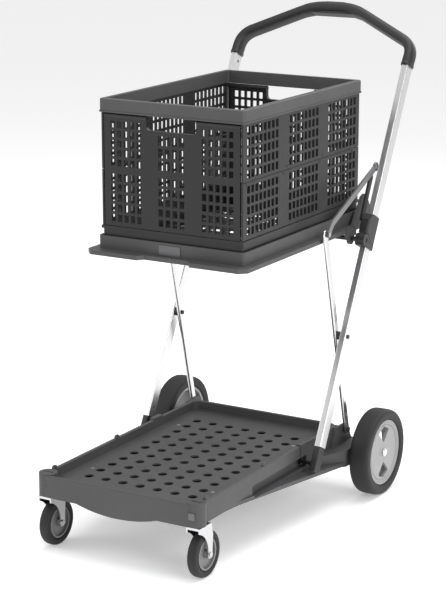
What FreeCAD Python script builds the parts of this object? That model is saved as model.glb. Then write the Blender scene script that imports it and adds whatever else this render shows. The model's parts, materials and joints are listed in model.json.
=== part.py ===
"""Folding shopping trolley: crate on a scissor frame, two swivel casters, two large wheels.

Millimetres. +Z is up, -Y is the front with the casters, +Y is the rear with the handle.
While modelling, Y is counted from the front edge of the lower tray; at the end everything
moves so that the origin is at the middle of the whole object, on the floor.
"""
import FreeCAD, Part
import math
import os

V = FreeCAD.Vector
X_AXIS, Y_AXIS, Z_AXIS = V(1, 0, 0), V(0, 1, 0), V(0, 0, 1)
SIDES = (("left", -1), ("right", 1))

# ---- clearances -----------------------------------------------------------------------
RUN = 0.05            # radial clearance of a shaft that turns in its bore
GAP = 0.5             # least gap between bodies that move past each other
SEAT = 0.4            # gap under a piece that lifts off

# ---- lower tray -----------------------------------------------------------------------
TRAY_W, TRAY_L = 368.0, 601.0
DECK_Z, DECK_T = 141.0, 3.0
RIM_Z, RIM_T, RIM_CORNER = DECK_Z + 19.0, 8.0, 24.0
HOLE_D, HOLE_COLS, HOLE_ROWS = 19.5, 7, 11
HOLE_PITCH_X = (TRAY_W - 122.0) / (HOLE_COLS - 1)
HOLE_PITCH_Y = (TRAY_L - 178.0) / (HOLE_ROWS - 1)
BUMP_R = 6.5
TOWER_L = 34.0
SCREW_D, HEAD_DEPTH = 4.0, 2.0

# ---- underbody ------------------------------------------------------------------------
HULL_WALL = 3.0
HULL_X = TRAY_W / 2
WELL_DEPTH = 12.0
HULL_FRONT_Z, HULL_REAR_Z = DECK_Z - 27.0, DECK_Z - 61.0
APRON_Z, APRON_HALF = HULL_FRONT_Z - 14.0, 95.0
FLARE_T = 8.0

# ---- casters --------------------------------------------------------------------------
POST_R, SWIVEL_Y = 19.0, 19.4
BUMP_Y = (SWIVEL_Y + POST_R + BUMP_R + 2.0, 276.0)
POST_X = HULL_X - 9.4
CASTER_R, CASTER_W, TRAIL = 48.2, 22.0, 24.8
CASTER_HUB_R, CASTER_PIN_D, STEM_D = 33.0, 6.0, 10.0
FORK_T, FORK_GAP = 3.0, 1.4
CROWN_T = 5.0

# ---- folding frame: layers across the object ------------------------------------------------
LEG_T, LEG_W = 8.0, 17.0
LINK_T, LINK_W = 4.4, 13.0
TUBE_T, TUBE_W, TUBE_WALL, TUBE_CORNER = 14.8, 27.2, 1.6, 2.4
LEG_X = HULL_X + 6.5 + LEG_T / 2
LINK_X = LEG_X + LEG_T / 2 + 1.5 + LINK_T / 2
TUBE_X = LINK_X + LINK_T / 2 + 1.6 + TUBE_T / 2
BLOCK_T = TUBE_T + 6.2
BLOCK_X = TUBE_X + 0.1
STRUT_T, STRUT_W = 5.0, 12.6
STRUT_X = LINK_X - LINK_T / 2 - 2.5 - STRUT_T / 2

# ---- folding frame: side view (Y, Z) -------------------------------------------------------
LEG_FOOT = (TRAY_L + 15.0, DECK_Z + 4.5)
LEG_TOP = (LEG_FOOT[0] - 113.5, LEG_FOOT[1] + 454.9)
SCISSOR = (LEG_FOOT[0] - 53.4, LEG_FOOT[1] + 224.1)
TUBE_START, TUBE_LEAN = (LEG_FOOT[0] - 164.5, LEG_FOOT[1] + 0.6), 27.1
GUIDE = (LEG_FOOT[0] - 177.6, LEG_FOOT[1] - 24.3)
HANDLE_HINGE = (LEG_FOOT[0] + 21.3, LEG_FOOT[1] + 420.0)
LINK_TOP = (LEG_FOOT[0] + 104.2, LEG_FOOT[1] + 563.3)
LINK_BEND = (LEG_TOP[0] + 18.5, LEG_TOP[1] + 20.6)
GUIDE_TRAVEL, GUIDE_SLACK = 206.0, 8.0
TUBE_FOOT_S, FOOT_DROP = 8.0, 46.0
ROD_D, BOLT_D, BOLT_HEAD_D, GUIDE_D = 10.0, 6.0, 9.0, 8.0
BLOCK_UP, BLOCK_DOWN, TONGUE_T = 60.0, 13.0, 9.0
BLOCK_EYE_R = ROD_D / 2 + 9.0
EAR_R = ROD_D / 2 + 8.0

# ---- rear wheels and the arms that carry them ---------------------------------------------
WHEEL_R, WHEEL_W = 94.4, 45.0
HUB_R, AXLE_D, BUSH_D = 71.0, 12.0, 20.0
AXLE_Y = LEG_FOOT[0] + 37.3
WING_X = LEG_X + 27.5
WING_START, WING_FULL = TRAY_L - 123.0, TRAY_L - 39.0
WING_TOP_Z = DECK_Z - 25.0
WHEEL_OUT = WING_X + 6.5 + WHEEL_W
CAP_R, CAP_T = 9.5, 5.0

# ---- handle ---------------------------------------------------------------------------
GRIP_S = 869.0
GRIP_SLEEVE, GRIP_RISE, GRIP_TILT = 10.0, 120.0, 7.0
TUBE_INTO_GRIP = 8.0
GRIP_SHOULDER, GRIP_CROWN_X = 40.0, 52.0
GRIP_T, GRIP_W = TUBE_T + 8.2, TUBE_W + 6.8
SHOULDER_R, CROWN_R, TILT_R = 50.0, 150.0, 120.0
TRIGGER_X, TRIGGER_W, TRIGGER_T, TRIGGER_TRAVEL = 54.0, 20.0, 12.0, 5.0

# ---- upper tray and crate ----------------------------------------------------------------
PAN_X = LEG_X - LEG_T / 2 - 3.5
PAN_Z, PAN_T = HANDLE_HINGE[1] + 22.5, 5.0
LIP_Z, LIP_T, LIP_GAP = PAN_Z + 26.8, 4.0, 3.0
EAR_T = 6.0
CRATE_L, RIM_X = 507.4, PAN_X - 18.6
CRATE_REAR = HANDLE_HINGE[0] + 79.8
CRATE_FRONT = CRATE_REAR - CRATE_L
CRATE_TOP, BASE_TOP = PAN_Z + 306.1, PAN_Z + 47.0
PAN_FRONT, PAN_REAR = CRATE_FRONT - 29.7, CRATE_REAR + 18.9
BAND_H, PANEL_T, PANEL_IN = 27.0, 4.0, 4.4
RIM_WALL, RIM_DEPTH = 3.0, 12.4
SIDE_GROUP_GAP, SIDE_MARGIN, SIDE_COLS, ROWS = 40.0, 18.0, 8, 5
END_OUTER_X, END_INNER_X, END_MIDDLE_X = RIM_X - 23.4, RIM_X - 100.4, 33.0
END_COLS, END_MIDDLE_COLS = 5, 4
RIB = 5.5
HAND_X, HAND_H = 58.0, 25.0
PIN_D, BARREL_R = 4.0, 5.0

NODES = {}


# ---- small helpers --------------------------------------------------------------------
def box(x0, x1, y0, y1, z0, z1):
    """A box between its two corners."""
    return Part.makeBox(x1 - x0, y1 - y0, z1 - z0, V(x0, y0, z0))


def rod_x(radius, x0, x1, at):
    """A round bar along X, at the side-view point (Y, Z)."""
    return Part.makeCylinder(radius, x1 - x0, V(x0, at[0], at[1]), X_AXIS)


def rod_z(radius, x, y, z0, z1):
    """A round upright bar."""
    return Part.makeCylinder(radius, z1 - z0, V(x, y, z0), Z_AXIS)


def side_plate(points, x0, x1):
    """A plate whose outline is a polygon of (Y, Z) points, from x0 to x1."""
    ring = [V(x0, y, z) for y, z in points]
    return Part.Face(Part.makePolygon(ring + ring[:1])).extrude(V(x1 - x0, 0, 0))


def floor_plate(points, z0, z1):
    """A plate whose outline is a polygon of (X, Y) points, from z0 to z1."""
    ring = [V(x, y, z0) for x, y in points]
    return Part.Face(Part.makePolygon(ring + ring[:1])).extrude(V(0, 0, z1 - z0))


def rounded_box(x0, x1, y0, y1, z0, z1, radius):
    """A box with round upright edges."""
    solid = box(x0, x1, y0, y1, z0, z1)
    upright = [e for e in solid.Edges if abs(e.tangentAt(e.FirstParameter).z) > 0.9]
    return solid.makeFillet(radius, upright)


def tidy_fuse(first, *others):
    """One solid from several that touch."""
    return first.fuse(list(others)).removeSplitter()


def both(make):
    """A left and a right copy of a right-hand solid, as one compound of two solids."""
    return Part.makeCompound([make, mirrored(make)])


def mirrored(solid):
    """The same solid on the other side of the middle plane."""
    return solid.mirror(V(0, 0, 0), X_AXIS)


def stadium(start, end, width, x0, x1):
    """A flat bar with round ends, between two side-view points."""
    run = math.hypot(end[0] - start[0], end[1] - start[1])
    lean = math.degrees(math.atan2(end[1] - start[1], end[0] - start[0]))
    bar = box(x0, x1, 0, run, -width / 2, width / 2)
    bar = tidy_fuse(bar, rod_x(width / 2, x0, x1, (0, 0)), rod_x(width / 2, x0, x1, (run, 0)))
    bar.rotate(V(0, 0, 0), X_AXIS, lean)
    bar.translate(V(0, start[0], start[1]))
    return bar


def along_tube(s, v=0.0):
    """Side-view point at distance s up the tube line and v behind it."""
    lean = math.radians(TUBE_LEAN)
    return (TUBE_START[0] + s * math.sin(lean) + v * math.cos(lean),
            TUBE_START[1] + s * math.cos(lean) - v * math.sin(lean))


def in_tube_frame(solid, s=0.0, v=0.0):
    """Turns a solid made upright at the origin on to the tube line."""
    solid.rotate(V(0, 0, 0), X_AXIS, -TUBE_LEAN)
    y, z = along_tube(s, v)
    solid.translate(V(0, y, z))
    return solid


def hinge_on_tube():
    """Distance of the handle hinge up the tube line, and behind it (negative is ahead)."""
    lean = math.radians(TUBE_LEAN)
    dy, dz = HANDLE_HINGE[0] - TUBE_START[0], HANDLE_HINGE[1] - TUBE_START[1]
    return (dy * math.sin(lean) + dz * math.cos(lean),
            dy * math.cos(lean) - dz * math.sin(lean))


HINGE_S, HINGE_V = hinge_on_tube()


def add(name, solid):
    """Keeps a finished node."""
    NODES[name] = solid


# ---- lower tray and underbody -----------------------------------------------------------
def hole_grid(cols, rows, pitch_x, pitch_y, x_mid, y_mid):
    """Centres of a rectangular grid."""
    for i in range(cols):
        for j in range(rows):
            yield (x_mid + (i - (cols - 1) / 2) * pitch_x, y_mid + (j - (rows - 1) / 2) * pitch_y)


def lower_tray():
    """Deck with round holes and a raised rim that leaves room for the corner posts."""
    half = TRAY_W / 2
    rim = rounded_box(-half, half, 0, TRAY_L, DECK_Z - DECK_T, RIM_Z, RIM_CORNER)
    inside = rounded_box(-half + RIM_T, half - RIM_T, RIM_T, TRAY_L - RIM_T, DECK_Z, RIM_Z + 1,
                         RIM_CORNER - RIM_T)
    tray = rim.cut(inside)
    top = [e for e in tray.Edges if e.BoundBox.ZMin > RIM_Z - 0.1]
    tray = tray.makeFillet(2.5, top)
    holes = [rod_z(HOLE_D / 2, x, y, DECK_Z - DECK_T - 1, DECK_Z + 1)
             for x, y in hole_grid(HOLE_COLS, HOLE_ROWS, HOLE_PITCH_X, HOLE_PITCH_Y, 0, TRAY_L / 2)]
    posts = [rod_z(POST_R, s * POST_X, SWIVEL_Y, DECK_Z - 20, RIM_Z + 5) for _, s in SIDES]
    screws = [rod_z(SCREW_D / 2, x, y, DECK_Z - DECK_T - 1, DECK_Z + 1) for x, y in screw_places()]
    screws += [screw_head(x, y, RUN) for x, y in screw_places()]
    tray = tray.cut(Part.makeCompound(holes)).cut(posts).cut(screws)
    wall = box(-half, half, 0, TRAY_L, DECK_Z, 2 * RIM_Z)
    wall = wall.cut(box(-half + RIM_T, half - RIM_T, -1, TRAY_L + 1, 0, 2 * RIM_Z))
    bumps = [Part.makeSphere(BUMP_R, V(s * (half - BUMP_R), y, RIM_Z + 1.0)).common(wall)
             for y in BUMP_Y for _, s in SIDES]
    tower = box(half - RIM_T, half + 3.5, GUIDE[0] - TOWER_L / 2, GUIDE[0] + TOWER_L / 2,
                DECK_Z - DECK_T, RIM_Z + 3)
    return tray.fuse(bumps + [tower, mirrored(tower)]).removeSplitter()


def screw_places():
    """Where the tray screws go, clear of the deck holes."""
    x = (HOLE_COLS - 1) / 2 * HOLE_PITCH_X + HOLE_PITCH_X / 2
    for y in (TRAY_L * 0.22, TRAY_L * 0.78):
        yield x, y
        yield -x, y


def screw_head(x, y, slack=0.0):
    """Countersunk head that ends flush with the deck."""
    return Part.makeCone(SCREW_D / 2 + slack, SCREW_D + slack, HEAD_DEPTH, V(x, y, DECK_Z - HEAD_DEPTH))


def tray_screws():
    """Countersunk screws from the deck into the bosses of the underbody."""
    screws = []
    for x, y in screw_places():
        shank = rod_z(SCREW_D / 2, x, y, DECK_Z - DECK_T - 10, DECK_Z - HEAD_DEPTH)
        slot = box(x - 3, x + 3, y - 0.5, y + 0.5, DECK_Z - 1, DECK_Z + 1)
        screws.append(tidy_fuse(shank, screw_head(x, y)).cut(slot))
    return Part.makeCompound(screws)


def hull_bottom(y):
    """Height of the underbody's lower edge at a place along it."""
    flat = SWIVEL_Y + TRAIL + CASTER_R + 20
    share = max(0.0, min(1.0, (y - flat) / (TRAY_L - flat)))
    return HULL_FRONT_Z + (HULL_REAR_Z - HULL_FRONT_Z) * share


def hull_block(inset, top):
    """The body of the underbody, as a block whose lower edge drops to the rear."""
    half = HULL_X - inset
    flat = SWIVEL_Y + TRAIL + CASTER_R + 20
    profile = [(inset, top), (inset, hull_bottom(0) - inset), (flat, hull_bottom(flat) - inset),
               (TRAY_L - inset, hull_bottom(TRAY_L) - inset), (TRAY_L - inset, top)]
    block = side_plate(profile, -half, half)
    plan = rounded_box(-half, half, inset, TRAY_L - inset, 0, RIM_Z, POST_R - inset)
    return block.common(plan)


def wing(sign):
    """Rear arm that flares out to the wheel and carries the axle and the leg pivot."""
    inner = HULL_X - HULL_WALL
    end = AXLE_Y + 20
    profile = [(WING_START, WING_TOP_Z), (end - 16, WING_TOP_Z), (end, WHEEL_R + 8),
               (end, WHEEL_R - 8), (end - 14, HULL_REAR_Z - 4), (WING_FULL, HULL_REAR_Z),
               (WING_START, hull_bottom(WING_START))]
    body = side_plate(profile, inner, WING_X)
    plan = floor_plate([(inner, WING_START), (inner + HULL_WALL, WING_START), (WING_X, WING_FULL),
                        (WING_X, end), (inner, end)], 0, RIM_Z)
    ear_x = LEG_X - LEG_T / 2 - GAP
    fin = [(WING_FULL - 6, WING_TOP_Z - 2), (WING_FULL + 12, RIM_Z - 2), (LEG_FOOT[0] + 12, RIM_Z - 2),
           (end - 22, WING_TOP_Z - 2)]
    ear = side_plate(fin, ear_x - 5.5, ear_x)
    arm = tidy_fuse(body.common(plan), ear)
    return arm if sign > 0 else mirrored(arm)


def flare(sign):
    """Thin skirt that widens from the hull towards the rear wheel, below the tube feet."""
    inner = HULL_X - HULL_WALL
    start = SWIVEL_Y + TRAIL + CASTER_R + 40
    profile = [(y, hull_bottom(y)) for y in (start, WING_FULL)]
    profile += [(y, hull_bottom(y) + FLARE_T) for y in (WING_FULL, start)]
    plan = floor_plate([(inner, start), (WING_X, WING_FULL), (inner, WING_FULL)], 0, RIM_Z)
    skirt = side_plate(profile, inner, WING_X).common(plan)
    return skirt if sign > 0 else mirrored(skirt)


def guide_span():
    """Front and rear end of the slot that a guide pin slides in, and half its height."""
    half = GUIDE_D / 2 + GUIDE_SLACK
    return GUIDE[0] - GUIDE_TRAVEL - half, GUIDE[0] + half, half


def guide_channel(sign):
    """Closed channel behind the slot, which hides the pin's head."""
    front, rear, half = guide_span()
    outer_x = HULL_X - HULL_WALL
    block = box(outer_x - 12, outer_x + 1, front - 3, rear + 3, GUIDE[1] - half - 2.5, GUIDE[1] + half + 2.5)
    channel = block.cut(box(outer_x - 9, outer_x + 2, front, rear, GUIDE[1] - half, GUIDE[1] + half))
    return channel if sign > 0 else mirrored(channel)


def underbody():
    """Hull with a pan under the deck, corner posts, front apron, rear arms and axle beam."""
    top = DECK_Z - DECK_T
    hull = hull_block(0, top)
    hollow = hull_block(HULL_WALL, top - WELL_DEPTH - HULL_WALL)
    deck_well = box(-HULL_X + 14, HULL_X - 14, 14, TRAY_L - 14, top - WELL_DEPTH, top + 1)
    shell = hull.cut(hollow).cut(deck_well)
    posts = [rod_z(POST_R, s * POST_X, SWIVEL_Y, HULL_FRONT_Z, RIM_Z - 2) for _, s in SIDES]
    drop = HULL_FRONT_Z - APRON_Z
    bow_r = (APRON_HALF ** 2 + drop ** 2) / (2 * drop)
    apron = box(-APRON_HALF, APRON_HALF, 0, HULL_WALL, APRON_Z, HULL_FRONT_Z + 4)
    apron = apron.common(Part.makeCylinder(bow_r, 40, V(0, -20, APRON_Z + bow_r), Y_AXIS))
    end = AXLE_Y + 20
    inner = HULL_X - HULL_WALL
    beam = box(-inner - 1, inner + 1, AXLE_Y - 16, end - 4, HULL_REAR_Z, WING_TOP_Z - 6)
    web = box(-inner - 1, inner + 1, TRAY_L - 4, AXLE_Y - 15, HULL_REAR_Z + 8, HULL_REAR_Z + 12)
    bosses = [rod_z(SCREW_D / 2 + 3, x, y, top - WELL_DEPTH - 1, top) for x, y in screw_places()]
    body = shell.fuse(posts + [apron, beam, web, wing(1), wing(-1), flare(1), flare(-1),
                                 guide_channel(1), guide_channel(-1)] + bosses)
    axle_hole = rod_x(AXLE_D / 2, -WING_X - 5, WING_X + 5, (AXLE_Y, WHEEL_R))
    leg_hole = rod_x(ROD_D / 2 + RUN, -WING_X - 5, WING_X + 5, LEG_FOOT)
    stems = [rod_z(STEM_D / 2 + RUN, s * POST_X, SWIVEL_Y, 0, RIM_Z - 10) for _, s in SIDES]
    screws = [rod_z(SCREW_D / 2, x, y, top - 20, top + 1) for x, y in screw_places()]
    front, rear, half = guide_span()
    slot = box(-WING_X - 5, WING_X + 5, front, rear, GUIDE[1] - half, GUIDE[1] + half)
    slot = slot.cut(box(-inner + 9, inner - 9, front - 1, rear + 1, 0, 2 * RIM_Z))
    body = body.cut([axle_hole, leg_hole, slot] + stems + screws)
    return body.removeSplitter()


def corner_post_caps():
    """Round caps with a slot, on the corner posts."""
    caps = []
    for _, sign in SIDES:
        cap = rod_z(POST_R, sign * POST_X, SWIVEL_Y, RIM_Z - 2, RIM_Z + 2)
        cap = cap.makeFillet(1.5, [e for e in cap.Edges if e.BoundBox.ZMin > RIM_Z + 1.9])
        x = sign * POST_X
        caps.append(cap.cut(box(x - 12, x + 12, SWIVEL_Y - 1.5, SWIVEL_Y + 1.5, RIM_Z, RIM_Z + 4)))
    return Part.makeCompound(caps)


def post_plate():
    """Small square plate on the front of the right post."""
    mid, half = (HULL_FRONT_Z + RIM_Z) / 2, 7.0
    plate = box(POST_X - half, POST_X + half, SWIVEL_Y - POST_R - 1.2, SWIVEL_Y, mid - half, mid + half)
    tray = rounded_box(-TRAY_W / 2, TRAY_W / 2, 0, TRAY_L, DECK_Z - DECK_T, RIM_Z, RIM_CORNER)
    return plate.cut([rod_z(POST_R, POST_X, SWIVEL_Y, 0, 300), hull_block(0, DECK_Z - DECK_T), tray])


def rear_axle():
    """Steel shaft through the rear arms and both wheels."""
    end = WHEEL_OUT - 4.0
    return rod_x(AXLE_D / 2, -end, end, (AXLE_Y, WHEEL_R))


# ---- casters --------------------------------------------------------------------------
def caster_fork(x):
    """Crown plate and two scooped cheeks that trail down to the axle."""
    axle = (SWIVEL_Y + TRAIL, CASTER_R)
    inner = CASTER_W / 2 + FORK_GAP
    outer = inner + FORK_T
    crown_z = HULL_FRONT_Z - 1.5
    cheek = [(SWIVEL_Y - 15, crown_z), (SWIVEL_Y + 30, crown_z), (axle[0] + 11, crown_z - 24),
             (axle[0] + 8, axle[1]), (axle[0] - 8, axle[1]), (SWIVEL_Y - 13, crown_z - 16)]
    plate = side_plate(cheek, x - outer, x + outer)
    scoop = rod_x(48.0, x - 60, x + 60, (SWIVEL_Y - 30.0, axle[1] + 8))
    plate = plate.cut(scoop).fuse(rod_x(8.0, x - outer, x + outer, axle))
    slot = box(x - inner, x + inner, -80, 140, 0, crown_z - CROWN_T)
    hood = plate.cut(slot)
    boss = rod_z(13.0, x, SWIVEL_Y, crown_z - CROWN_T, crown_z + 1.0)
    hood = hood.fuse(boss)
    stem_hole = rod_z(STEM_D / 2, x, SWIVEL_Y, crown_z - 30, crown_z + 5)
    pin_hole = rod_x(CASTER_PIN_D / 2, x - 40, x + 40, axle)
    return hood.cut([stem_hole, pin_hole]).removeSplitter()


def caster_stem(x):
    """Swivel pin that turns in the corner post."""
    crown_z = HULL_FRONT_Z - 1.5
    pin = rod_z(STEM_D / 2, x, SWIVEL_Y, crown_z - CROWN_T, RIM_Z - 14)
    return pin.makeChamfer(1.0, [e for e in pin.Edges if e.BoundBox.ZMin > RIM_Z - 15])


def caster_axle(x):
    """Axle bolt with a head on each cheek."""
    at = (SWIVEL_Y + TRAIL, CASTER_R)
    outer = CASTER_W / 2 + FORK_GAP + FORK_T
    shank = rod_x(CASTER_PIN_D / 2, x - outer, x + outer, at)
    heads = [rod_x(CASTER_PIN_D * 0.9, x + outer, x + outer + 2.5, at),
             rod_x(CASTER_PIN_D * 0.9, x - outer - 2.5, x - outer, at)]
    return tidy_fuse(shank, *heads)


def caster_tyre(x):
    """Rubber ring with round shoulders."""
    at = (SWIVEL_Y + TRAIL, CASTER_R)
    ring = rod_x(CASTER_R, x - CASTER_W / 2, x + CASTER_W / 2, at)
    ring = ring.makeFillet(6.5, [e for e in ring.Edges if e.Length > CASTER_R * 6])
    return ring.cut(rod_x(CASTER_HUB_R, x - CASTER_W, x + CASTER_W, at))


def caster_hub(x):
    """Hub with a web that is thinner than its rim and its middle."""
    at = (SWIVEL_Y + TRAIL, CASTER_R)
    half = CASTER_W / 2 - 1.5
    hub = rod_x(CASTER_HUB_R, x - half, x + half, at)
    for sign in (-1, 1):
        face = x + sign * half
        ring = rod_x(CASTER_HUB_R - 4, min(face, face - sign * 5), max(face, face - sign * 5), at)
        hub = hub.cut(ring.cut(rod_x(9.0, x - 40, x + 40, at)))
    middle = rod_x(8.0, x - CASTER_W / 2 - FORK_GAP + GAP, x + CASTER_W / 2 + FORK_GAP - GAP, at)
    return hub.fuse(middle).cut(rod_x(CASTER_PIN_D / 2 + RUN, x - 40, x + 40, at)).removeSplitter()


# ---- rear wheels ------------------------------------------------------------------------
def wheel_tyre(sign):
    """Wide smooth tyre with round shoulders."""
    at = (AXLE_Y, WHEEL_R)
    x0, x1 = WHEEL_OUT - WHEEL_W, WHEEL_OUT
    tyre = rod_x(WHEEL_R, x0, x1, at)
    tyre = tyre.makeFillet(9.0, [e for e in tyre.Edges if e.Length > WHEEL_R * 6])
    tyre = tyre.cut(rod_x(HUB_R, x0 - 1, x1 + 1, at))
    return tyre if sign > 0 else mirrored(tyre)


def hub_window(turn):
    """Triangular window with its wide side near the rim."""
    y, z = AXLE_Y, WHEEL_R
    points = []
    for angle, radius in ((62, 0.76), (90, 0.82), (118, 0.76), (90, 0.30)):
        a = math.radians(angle + turn)
        points.append((y + HUB_R * radius * math.cos(a), z + HUB_R * radius * math.sin(a)))
    window = side_plate(points, WHEEL_OUT - WHEEL_W - 5, WHEEL_OUT + 5)
    upright = [e for e in window.Edges if abs(e.tangentAt(e.FirstParameter).x) > 0.9]
    return window.makeFillet(4.0, upright)


def wheel_hub(sign):
    """Light hub: rim, shallow dish, middle boss, two windows and a ring groove."""
    at = (AXLE_Y, WHEEL_R)
    x0, x1 = WHEEL_OUT - WHEEL_W + 3, WHEEL_OUT - 4
    hub = rod_x(HUB_R, x0, x1, at)
    web_out = x1 - 2.5
    dish = Part.makeCone(HUB_R - 3, HUB_R - 6, 2.5, V(x1, at[0], at[1]), -X_AXIS)
    back = rod_x(HUB_R - 6, x0 - 1, web_out - 6, at)
    hub = hub.cut([dish, back])
    boss = rod_x(BUSH_D / 2 + 7, x0, web_out, at)
    groove = rod_x(HUB_R * 0.87, web_out - 1.2, web_out + 1, at).cut(rod_x(HUB_R * 0.85, x0, x1, at))
    hub = tidy_fuse(hub, boss).cut(groove)
    windows = [hub_window(turn) for turn in (0, 180)]
    bore = rod_x(BUSH_D / 2, x0 - 1, x1 + 1, at)
    hub = hub.cut(windows + [bore]).removeSplitter()
    return hub if sign > 0 else mirrored(hub)


def wheel_bush(sign):
    """Bearing bush between the hub and the axle."""
    at = (AXLE_Y, WHEEL_R)
    x0, x1 = WHEEL_OUT - WHEEL_W + 1, WHEEL_OUT - 6.5
    bush = rod_x(BUSH_D / 2, x0, x1, at).cut(rod_x(AXLE_D / 2 + RUN, x0 - 1, x1 + 1, at))
    return bush if sign > 0 else mirrored(bush)


def hub_cap(sign):
    """Bright domed cap over the end of the axle."""
    at = (AXLE_Y, WHEEL_R)
    x0 = WHEEL_OUT - 6.5
    cap = rod_x(CAP_R, x0, x0 + CAP_T, at)
    cap = cap.makeFillet(2.5, [e for e in cap.Edges if e.BoundBox.XMin > x0 + CAP_T - 0.1])
    cap = cap.cut(rod_x(AXLE_D / 2 + 1, x0 - 1, x0 + CAP_T - 1.5, at))
    return cap if sign > 0 else mirrored(cap)


# ---- folding frame ----------------------------------------------------------------------
def leg(sign):
    """Flat-sided bright leg with round ends."""
    x0, x1 = LEG_X - LEG_T / 2, LEG_X + LEG_T / 2
    bar = stadium(LEG_FOOT, LEG_TOP, LEG_W, x0, x1)
    bar = bar.makeFillet(LEG_T * 0.44, [e for e in bar.Edges if e.Length > LEG_T * 2])
    holes = [rod_x(ROD_D / 2, 0, 300, LEG_FOOT), rod_x(BOLT_D / 2, 0, 300, SCISSOR),
             rod_x(BOLT_D / 2, 0, 300, LEG_TOP)]
    bar = bar.cut(holes)
    return bar if sign > 0 else mirrored(bar)


def leg_pivot_rod():
    """Rod through the rear arms that the legs are fixed to."""
    end = LEG_X + LEG_T / 2
    rod = rod_x(ROD_D / 2, -end, end, LEG_FOOT)
    heads = [rod_x(ROD_D * 0.6, end, end + 2, LEG_FOOT), rod_x(ROD_D * 0.6, -end - 2, -end, LEG_FOOT)]
    return tidy_fuse(rod, *heads)


def leg_top_pins():
    """Headed pins at the leg tops; the link bars turn on them."""
    x0, x1 = LEG_X - LEG_T / 2, LINK_X + LINK_T / 2 + 0.4
    pin = rod_x(BOLT_D / 2, x0, x1, LEG_TOP)
    return both(tidy_fuse(pin, rod_x(BOLT_D * 0.8, x1, x1 + 1.6, LEG_TOP)))


def scissor_bolts():
    """Bolts at the crossing, fixed in the legs; the tubes turn on them."""
    x0 = LEG_X - LEG_T / 2
    x1 = TUBE_X + TUBE_T / 2 + GAP
    bolt = rod_x(BOLT_D / 2, x0, x1, SCISSOR)
    inner = rod_x(BOLT_HEAD_D / 2, x0 - 3, x0, SCISSOR)
    outer = rod_x(BOLT_HEAD_D / 2, x1, x1 + 1.8, SCISSOR)
    return both(tidy_fuse(bolt, inner, outer))


def scissor_spacers():
    """Dark spacers between leg and tube."""
    x0, x1 = LEG_X + LEG_T / 2, TUBE_X - TUBE_T / 2 - GAP
    return both(rod_x(BOLT_D / 2 + 6, x0, x1, SCISSOR).cut(rod_x(BOLT_D / 2, 0, 300, SCISSOR)))


def tube_run(s0, s1, wall):
    """Rounded rectangular tube along the tube line; wall 0 gives a solid bar."""
    half_t, half_w = TUBE_T / 2, TUBE_W / 2
    outer = rounded_box(-half_t, half_t, -half_w, half_w, s0, s1, TUBE_CORNER)
    if wall:
        inner = rounded_box(-half_t + wall, half_t - wall, -half_w + wall, half_w - wall,
                            s0 - 1, s1 + 1, TUBE_CORNER - wall)
        outer = outer.cut(inner)
    outer.translate(V(TUBE_X, 0, 0))
    return in_tube_frame(outer)


def lower_tube(sign):
    """Main tube from its foot fitting to the handle hinge, turning on the scissor bolt."""
    tube = tube_run(TUBE_FOOT_S, HINGE_S - 2.0, TUBE_WALL)
    tube = tube.cut([rod_x(BOLT_D / 2 + RUN, 0, 300, SCISSOR), hinge_outline(BLOCK_EYE_R + 2 * GAP)])
    y, z = along_tube(TUBE_FOOT_S + 22)
    tube = tube.cut(rod_x(3.0, 0, TUBE_X, (y, z)))
    return tube if sign > 0 else mirrored(tube)


def tube_end_fitting(sign):
    """Dark foot with a spigot up the tube and a bore for the guide pin."""
    half_t, half_w = TUBE_T / 2 - 0.4, TUBE_W / 2 - 0.6
    foot_s = -FOOT_DROP
    foot = rounded_box(-half_t, half_t, -half_w, half_w, foot_s, TUBE_FOOT_S, TUBE_CORNER)
    foot = foot.makeFillet(4.0, [e for e in foot.Edges if e.BoundBox.ZMax < foot_s + 0.1])
    in_t, in_w = TUBE_T / 2 - TUBE_WALL, TUBE_W / 2 - TUBE_WALL
    spigot = rounded_box(-in_t, in_t, -in_w, in_w, TUBE_FOOT_S - 2, TUBE_FOOT_S + 14,
                         TUBE_CORNER - TUBE_WALL)
    part = tidy_fuse(foot, spigot)
    part.translate(V(TUBE_X, 0, 0))
    part = in_tube_frame(part).cut(rod_x(GUIDE_D / 2, 0, 300, GUIDE))
    return part if sign > 0 else mirrored(part)


def guide_pins():
    """Headed pins from the tube feet into the side guides of the underbody."""
    hull_in = HULL_X - HULL_WALL
    pin = rod_x(GUIDE_D / 2, hull_in - 4, TUBE_X + TUBE_T / 2 - 0.4, GUIDE)
    inner = rod_x(GUIDE_D / 2 + 3, hull_in - 6, hull_in - GAP * 2, GUIDE)
    collar = rod_x(GUIDE_D / 2 + 3, TUBE_X - TUBE_T / 2 - 4, TUBE_X - TUBE_T / 2 + 0.4, GUIDE)
    return both(tidy_fuse(pin, inner, collar))


def hinge_outline(radius):
    """Round bar about the handle hinge, in the tube frame's own X range."""
    return rod_x(radius, 0, 400, HANDLE_HINGE)


def block_slab(x0, x1, v0, v1, s0, s1, corner):
    """Block along the tube line, from v0 to v1 behind it, with round upright edges."""
    return in_tube_frame(rounded_box(x0, x1, v0, v1, s0, s1, corner))


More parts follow.
